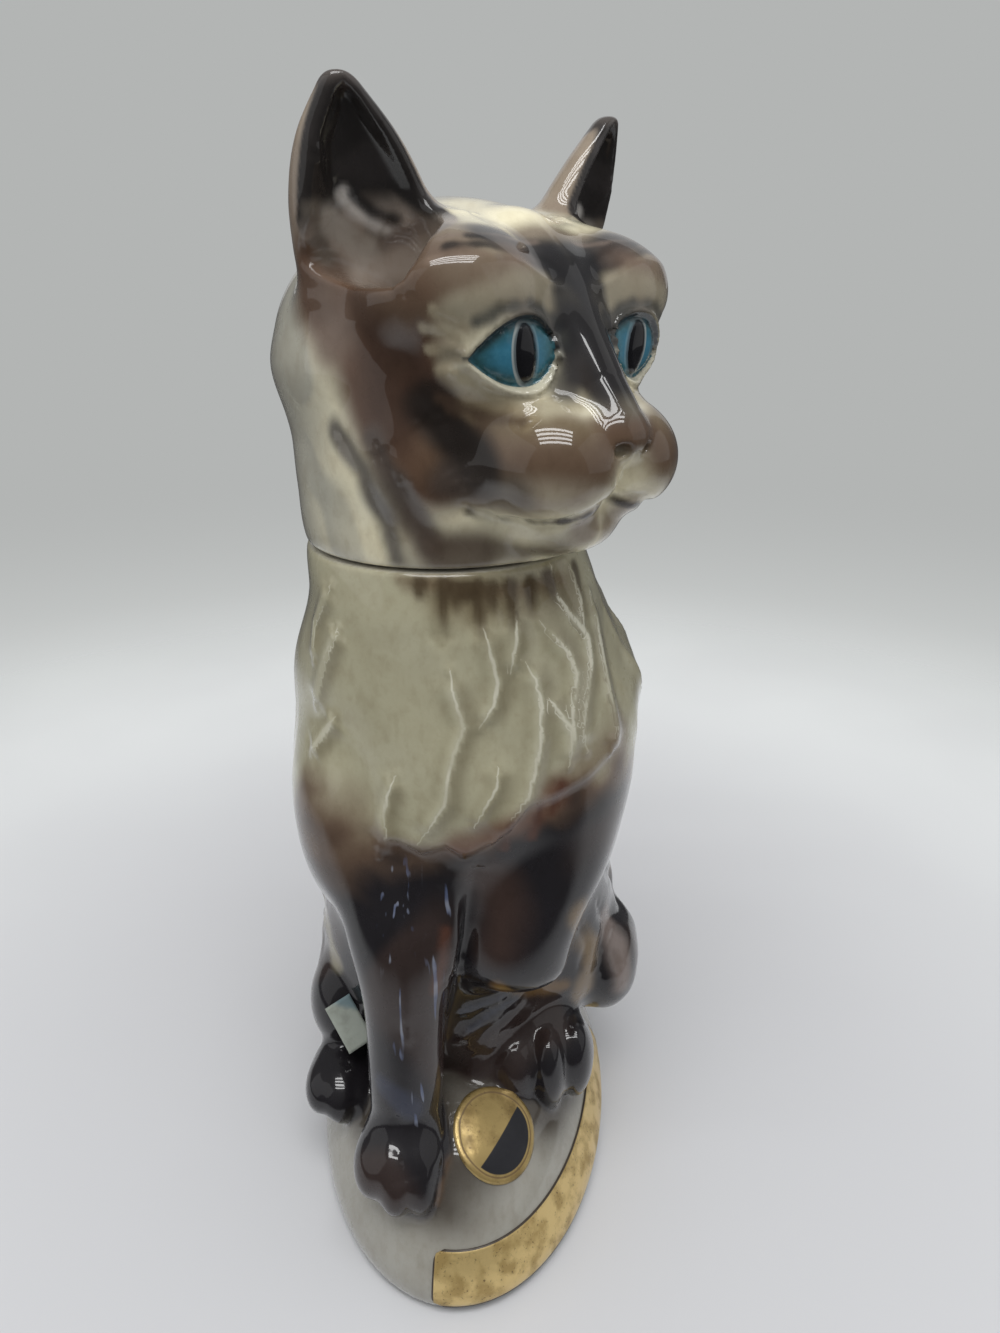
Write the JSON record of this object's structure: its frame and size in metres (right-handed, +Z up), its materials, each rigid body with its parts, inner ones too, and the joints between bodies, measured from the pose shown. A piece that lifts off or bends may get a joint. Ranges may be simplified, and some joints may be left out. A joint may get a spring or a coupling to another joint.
{
  "type": "figural liquor decanter",
  "caption": "Hollow glazed-china decanter shaped as a seated cat on an oval plinth; its turned head lifts off as a corked stopper over a round neck.",
  "frame": {"origin": "middle of the foot ring that the plinth stands on", "axes": "+Z up, the plinth's long axis along Y with the cat facing -Y, +X to the cat's left"},
  "size_m": [0.106, 0.1606, 0.2916],
  "materials": {
    "glazed_body": "gloss",
    "glazed_head": "gloss",
    "plain_china": "satin",
    "cement": "matt",
    "cork": "matt",
    "gold_foil": "gloss",
    "gold_foil_seal": "gloss",
    "sticker_paper": "matt"
  },
  "bodies": {
    "vessel": {"cat_vessel": "glazed_body", "foil_label": "gold_foil", "foil_seal": "gold_foil_seal", "stock_sticker": "sticker_paper"},
    "cork": {"cork_sleeve": "cork"},
    "head": {"cat_head": "glazed_head", "stopper_plug": "plain_china", "plug_cement": "cement"}
  },
  "joints": [
    {"name": "stopper_lift", "type": "slide", "parent": "vessel", "child": "cork", "axis": [0, 0, 1], "range_m": [0, 0.06]},
    {"name": "head_turn", "type": "hinge", "parent": "cork", "child": "head", "pos_m": [-0.002, -0.0065, 0.195], "axis": [0, 0, 1], "continuous": true}
  ]
}
